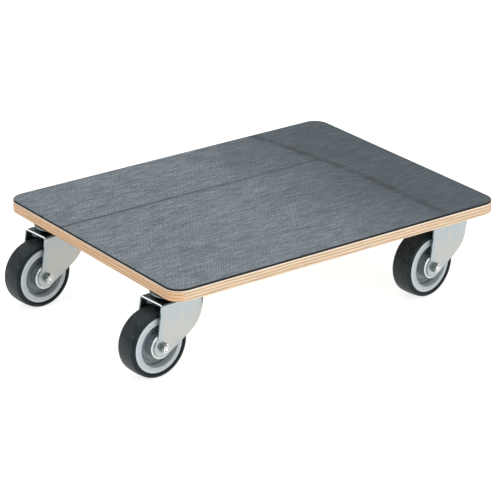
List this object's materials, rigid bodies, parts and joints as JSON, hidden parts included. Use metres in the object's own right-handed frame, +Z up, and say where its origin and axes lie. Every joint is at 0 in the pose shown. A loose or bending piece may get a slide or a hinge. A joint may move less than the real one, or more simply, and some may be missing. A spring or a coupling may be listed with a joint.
{
  "type": "furniture dolly",
  "caption": "Low flat plywood dolly with a rubber-topped deck, rolling on swivel casters that each turn freely below a corner.",
  "frame": {"origin": "on the floor, under the middle of the whole dolly with its casters trailing", "axes": "+X along the deck's long side away from the trailing wheels, +Y along its short side, +Z up"},
  "size_m": [0.6446, 0.45, 0.154],
  "materials": {
    "plywood": "lacquered multi-ply birch, cut edge showing",
    "mat_rubber": "fine-ribbed matt sheet",
    "zinc_fork": "bright zinc plated pressed sheet",
    "zinc_plate": "bright zinc plated pressed sheet",
    "zinc_hardware": "zinc plated",
    "thread_guard_steel": "bright zinc plated, spun",
    "bearing_steel": "ground",
    "rim_plastic": "moulded grey polypropylene",
    "tyre_rubber": "matt black thermoplastic rubber"
  },
  "bodies": {
    "deck": {"plywood_deck": "plywood", "rubber_mat": "mat_rubber", "plate_screws": "zinc_hardware", "front_left_top_plate": "zinc_plate", "front_left_kingpin": "zinc_hardware", "front_left_lower_race": "zinc_hardware", "back_left_top_plate": "zinc_plate", "back_left_kingpin": "zinc_hardware", "back_left_lower_race": "zinc_hardware", "front_right_top_plate": "zinc_plate", "front_right_kingpin": "zinc_hardware", "front_right_lower_race": "zinc_hardware", "back_right_top_plate": "zinc_plate", "back_right_kingpin": "zinc_hardware", "back_right_lower_race": "zinc_hardware"},
    "front_left_swivel": {"front_left_bearing_cup": "zinc_plate", "front_left_upper_balls": "bearing_steel", "front_left_lower_balls": "bearing_steel", "front_left_fork": "zinc_fork", "front_left_axle_bolt": "zinc_hardware", "front_left_axle_nut": "zinc_hardware", "front_left_axle_sleeve": "bearing_steel", "front_left_thread_guards": "thread_guard_steel"},
    "front_left_wheel": {"front_left_rim": "rim_plastic", "front_left_tyre": "tyre_rubber", "front_left_roller_bearing": "bearing_steel"},
    "back_left_swivel": {"back_left_bearing_cup": "zinc_plate", "back_left_upper_balls": "bearing_steel", "back_left_lower_balls": "bearing_steel", "back_left_fork": "zinc_fork", "back_left_axle_bolt": "zinc_hardware", "back_left_axle_nut": "zinc_hardware", "back_left_axle_sleeve": "bearing_steel", "back_left_thread_guards": "thread_guard_steel"},
    "back_left_wheel": {"back_left_rim": "rim_plastic", "back_left_tyre": "tyre_rubber", "back_left_roller_bearing": "bearing_steel"},
    "front_right_swivel": {"front_right_bearing_cup": "zinc_plate", "front_right_upper_balls": "bearing_steel", "front_right_lower_balls": "bearing_steel", "front_right_fork": "zinc_fork", "front_right_axle_bolt": "zinc_hardware", "front_right_axle_nut": "zinc_hardware", "front_right_axle_sleeve": "bearing_steel", "front_right_thread_guards": "thread_guard_steel"},
    "front_right_wheel": {"front_right_rim": "rim_plastic", "front_right_tyre": "tyre_rubber", "front_right_roller_bearing": "bearing_steel"},
    "back_right_swivel": {"back_right_bearing_cup": "zinc_plate", "back_right_upper_balls": "bearing_steel", "back_right_lower_balls": "bearing_steel", "back_right_fork": "zinc_fork", "back_right_axle_bolt": "zinc_hardware", "back_right_axle_nut": "zinc_hardware", "back_right_axle_sleeve": "bearing_steel", "back_right_thread_guards": "thread_guard_steel"},
    "back_right_wheel": {"back_right_rim": "rim_plastic", "back_right_tyre": "tyre_rubber", "back_right_roller_bearing": "bearing_steel"}
  },
  "joints": [
    {"name": "front_left_swivel_turn", "type": "hinge", "parent": "deck", "child": "front_left_swivel", "pos_m": [-0.22771, -0.154, 0.12], "axis": [0, 0, 1], "continuous": true},
    {"name": "front_left_wheel_spin", "type": "hinge", "parent": "front_left_swivel", "child": "front_left_wheel", "pos_m": [-0.2711, -0.15703, 0.051], "axis": [-0.0698, 0.9976, 0], "continuous": true},
    {"name": "back_left_swivel_turn", "type": "hinge", "parent": "deck", "child": "back_left_swivel", "pos_m": [-0.22771, 0.157, 0.12], "axis": [0, 0, 1], "continuous": true},
    {"name": "back_left_wheel_spin", "type": "hinge", "parent": "back_left_swivel", "child": "back_left_wheel", "pos_m": [-0.27108, 0.15359, 0.051], "axis": [-0.0785, 0.9969, 0], "continuous": true},
    {"name": "front_right_swivel_turn", "type": "hinge", "parent": "deck", "child": "front_right_swivel", "pos_m": [0.27229, -0.154, 0.12], "axis": [0, 0, 1], "continuous": true},
    {"name": "front_right_wheel_spin", "type": "hinge", "parent": "front_right_swivel", "child": "front_right_wheel", "pos_m": [0.22921, -0.16005, 0.051], "axis": [-0.1392, 0.9903, 0], "continuous": true},
    {"name": "back_right_swivel_turn", "type": "hinge", "parent": "deck", "child": "back_right_swivel", "pos_m": [0.27229, 0.157, 0.12], "axis": [0, 0, 1], "continuous": true},
    {"name": "back_right_wheel_spin", "type": "hinge", "parent": "back_right_swivel", "child": "back_right_wheel", "pos_m": [0.22903, 0.15245, 0.051], "axis": [-0.1045, 0.9945, 0], "continuous": true}
  ]
}
